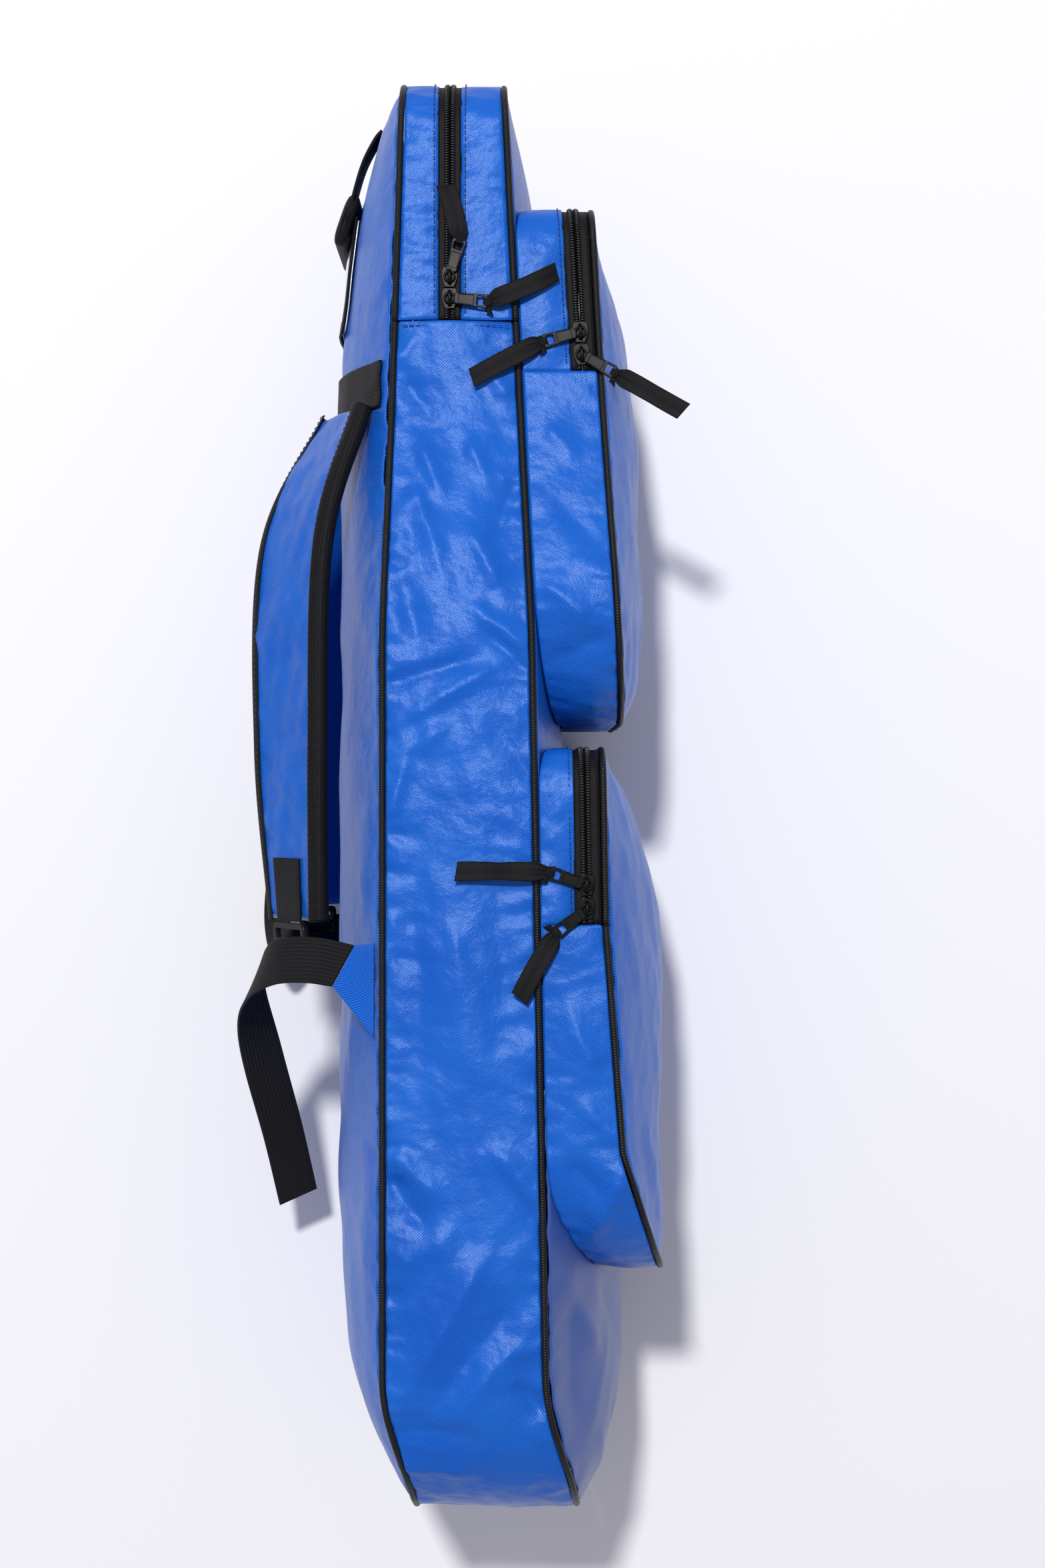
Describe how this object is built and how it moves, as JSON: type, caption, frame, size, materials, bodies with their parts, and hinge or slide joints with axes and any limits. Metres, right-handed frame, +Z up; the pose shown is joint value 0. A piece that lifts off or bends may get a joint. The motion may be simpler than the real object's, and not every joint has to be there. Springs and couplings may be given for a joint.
{
  "type": "racket tournament bag",
  "caption": "Backpack-style racket bag lying on its side, with a zipped main compartment, zipped front pockets, padded shoulder straps and a webbing grab handle.",
  "frame": {"origin": "on the flat far side gusset, which rests on the ground, at the middle of its depth", "axes": "+Z up across the bag's width, +Y along the bag towards the grip end, +X from the back to the front pockets"},
  "size_m": [0.2494, 0.778, 0.291],
  "materials": {
    "blue_polyester": "blue woven polyester with a soft sheen",
    "blue_coated": "smooth coated blue cloth",
    "black_webbing": "black ribbed webbing and binding",
    "zip_black": "black zip tape with a nylon coil",
    "slider_black": "gloss black",
    "ribbon_black": "matt black woven ribbon",
    "clear_window": "clear vinyl over a white card"
  },
  "bodies": {
    "bag": {"back_panel": "blue_polyester", "front_panel": "blue_polyester", "base_panel": "blue_coated", "side_gusset_near": "blue_polyester", "side_gusset_far": "blue_polyester", "bottom_gusset": "blue_polyester", "zip_strip_front": "blue_polyester", "main_zip_front": "zip_black", "rear_piping": "black_webbing", "front_piping": "black_webbing", "back_band": "black_webbing", "near_anchor_tab": "blue_polyester", "far_anchor_tab": "blue_polyester", "upper_pocket_gusset": "blue_polyester", "upper_pocket_panel": "blue_polyester", "upper_pocket_zip_inner": "zip_black", "upper_pocket_piping": "black_webbing", "lower_pocket_gusset": "blue_polyester", "lower_pocket_panel": "blue_polyester", "lower_pocket_zip_inner": "zip_black", "lower_pocket_piping": "black_webbing"},
    "rear_flap": {"back_panel_top": "blue_polyester", "zip_strip_rear": "blue_polyester", "main_zip_rear": "zip_black", "rear_piping_top": "black_webbing", "id_window": "clear_window"},
    "grab_handle": {"grab_handle": "black_webbing"},
    "upper_flap": {"upper_pocket_flap": "blue_polyester", "upper_pocket_zip_outer": "zip_black", "upper_pocket_flap_piping": "black_webbing"},
    "lower_flap": {"lower_pocket_flap": "blue_polyester", "lower_pocket_zip_outer": "zip_black", "lower_pocket_flap_piping": "black_webbing"},
    "main_slider_first": {"main_slider_first": "slider_black"},
    "main_pull_first": {"main_slider_first_pull": "slider_black", "main_slider_first_ribbon": "ribbon_black"},
    "main_slider_second": {"main_slider_second": "slider_black"},
    "main_pull_second": {"main_slider_second_pull": "slider_black", "main_slider_second_ribbon": "ribbon_black"},
    "upper_slider_first": {"upper_slider_first": "slider_black"},
    "upper_pull_first": {"upper_slider_first_pull": "slider_black", "upper_slider_first_ribbon": "ribbon_black"},
    "upper_slider_second": {"upper_slider_second": "slider_black"},
    "upper_pull_second": {"upper_slider_second_pull": "slider_black", "upper_slider_second_ribbon": "ribbon_black"},
    "lower_slider_first": {"lower_slider_first": "slider_black"},
    "lower_pull_first": {"lower_slider_first_pull": "slider_black", "lower_slider_first_ribbon": "ribbon_black"},
    "lower_slider_second": {"lower_slider_second": "slider_black"},
    "lower_pull_second": {"lower_slider_second_pull": "slider_black", "lower_slider_second_ribbon": "ribbon_black"},
    "near_strap": {"near_strap_pad": "blue_polyester", "near_strap_tab": "black_webbing", "near_ladder_lock": "slider_black", "near_adjuster": "black_webbing"},
    "far_strap": {"far_strap_pad": "blue_polyester", "far_strap_tab": "black_webbing", "far_ladder_lock": "slider_black", "far_adjuster": "black_webbing"}
  },
  "joints": [
    {"name": "rear_flap_hinge", "type": "hinge", "parent": "bag", "child": "rear_flap", "pos_m": [-0.0688, 0.258, 0.1425], "axis": [0, 0, 1], "range_deg": [0, 45]},
    {"name": "grab_handle_hinge", "type": "hinge", "parent": "rear_flap", "child": "grab_handle", "pos_m": [-0.04967, 0.374, 0.1425], "axis": [0, 0, 1], "range_deg": [-140, 0]},
    {"name": "upper_pocket_flap_hinge", "type": "hinge", "parent": "bag", "child": "upper_flap", "pos_m": [0.09678, 0.231, 0.1425], "axis": [0, 0, -1], "range_deg": [0, 60]},
    {"name": "lower_pocket_flap_hinge", "type": "hinge", "parent": "bag", "child": "lower_flap", "pos_m": [0.11175, -0.064, 0.1425], "axis": [0, 0, -1], "range_deg": [0, 60]},
    {"name": "main_slider_first_slide", "type": "slide", "parent": "bag", "child": "main_slider_first", "axis": [0, 1, 0], "range_m": [0, 0.03]},
    {"name": "main_slider_first_pull_hinge", "type": "hinge", "parent": "main_slider_first", "child": "main_pull_first", "pos_m": [-0.005, 0.2695, 0.2644], "axis": [-0.1045, -0.9945, 0], "range_deg": [0, 130]},
    {"name": "main_slider_second_slide", "type": "slide", "parent": "main_slider_first", "child": "main_slider_second", "axis": [0, 1, 0], "range_m": [0, 0.04]},
    {"name": "main_slider_second_pull_hinge", "type": "hinge", "parent": "main_slider_second", "child": "main_pull_second", "pos_m": [-0.005, 0.281, 0.2644], "axis": [0.9613, -0.2756, 0], "range_deg": [0, 130]},
    {"name": "upper_slider_first_slide", "type": "slide", "parent": "bag", "child": "upper_slider_first", "axis": [-0.0555, 0.9985, 0], "range_m": [0, 0.015]},
    {"name": "upper_slider_first_pull_hinge", "type": "hinge", "parent": "upper_slider_first", "child": "upper_pull_first", "pos_m": [0.06553, 0.2395, 0.2644], "axis": [-0.4973, -0.8676, 0], "range_deg": [0, 130]},
    {"name": "upper_slider_second_slide", "type": "slide", "parent": "upper_slider_first", "child": "upper_slider_second", "axis": [-0.0555, 0.9985, 0], "range_m": [0, 0.017]},
    {"name": "upper_slider_second_pull_hinge", "type": "hinge", "parent": "upper_slider_second", "child": "upper_pull_second", "pos_m": [0.06486, 0.2515, 0.2644], "axis": [-0.2618, 0.9651, 0], "range_deg": [0, 130]},
    {"name": "lower_slider_first_slide", "type": "slide", "parent": "bag", "child": "lower_slider_first", "axis": [-0.0172, 0.9999, 0], "range_m": [0, 0.016]},
    {"name": "lower_slider_first_pull_hinge", "type": "hinge", "parent": "lower_slider_first", "child": "lower_pull_first", "pos_m": [0.06785, -0.0555, 0.2889], "axis": [-0.6155, 0.7882, 0], "range_deg": [0, 130]},
    {"name": "lower_slider_second_slide", "type": "slide", "parent": "lower_slider_first", "child": "lower_slider_second", "axis": [-0.0172, 0.9999, 0], "range_m": [0, 0.028]},
    {"name": "lower_slider_second_pull_hinge", "type": "hinge", "parent": "lower_slider_second", "child": "lower_pull_second", "pos_m": [0.06764, -0.043, 0.2889], "axis": [0.3258, 0.9454, 0], "range_deg": [0, 130]},
    {"name": "near_strap_swing", "type": "hinge", "parent": "bag", "child": "near_strap", "pos_m": [-0.0462, 0.2124, 0.25], "axis": [0.0483, 0.9963, -0.071], "range_deg": [0, 40]},
    {"name": "far_strap_swing", "type": "hinge", "parent": "bag", "child": "far_strap", "pos_m": [-0.0716, 0.2124, 0.095], "axis": [-0.0352, 0.9643, 0.2623], "range_deg": [0, 25]}
  ]
}
